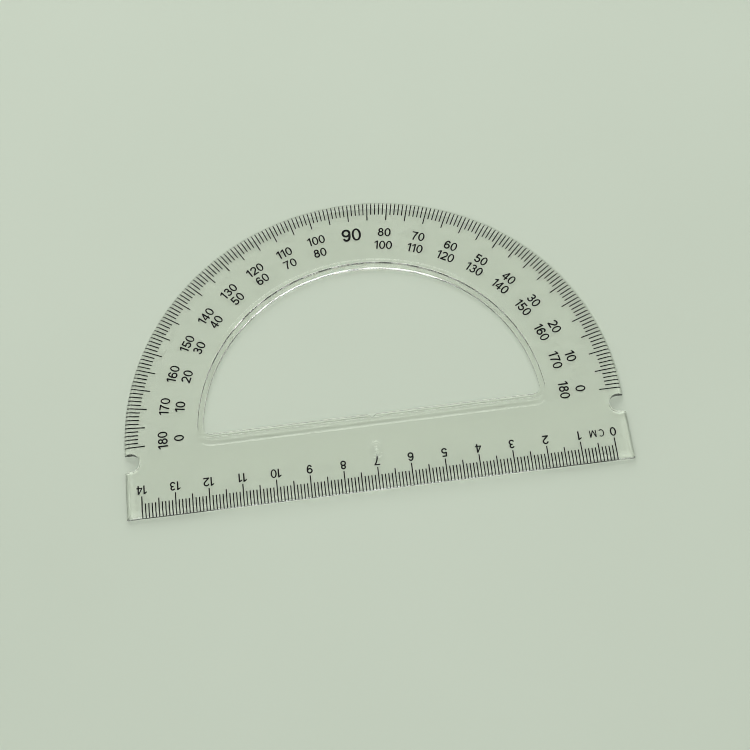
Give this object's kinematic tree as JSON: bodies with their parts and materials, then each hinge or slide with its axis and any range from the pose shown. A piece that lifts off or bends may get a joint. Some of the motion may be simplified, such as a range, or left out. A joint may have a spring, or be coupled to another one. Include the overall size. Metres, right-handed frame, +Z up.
{
  "type": "protractor",
  "caption": "Clear half-round protractor with a D-shaped window, degree scales printed both ways round the arc, and a centimetre ruler along the straight edge.",
  "frame": {"origin": "centre of the plate's arc, on the underside: the point of the V mark in the window's straight side", "axes": "+X towards the 0 degree mark, +Y towards the 90 degree mark, +Z up out of the face that is read"},
  "size_m": [0.1494, 0.0974, 0.002],
  "materials": {
    "clear_plastic": "gloss moulded clear polystyrene",
    "ink": "matt black printing ink"
  },
  "bodies": {
    "root": {"plate": "clear_plastic", "one_degree_ticks": "ink", "five_degree_ticks": "ink", "outer_degree_figures": "ink", "inner_degree_figures": "ink", "ninety_figure": "ink", "millimetre_ticks": "ink", "half_centimetre_ticks": "ink", "centimetre_ticks": "ink", "centimetre_figures": "ink", "unit_letters": "ink"}
  },
  "joints": []
}
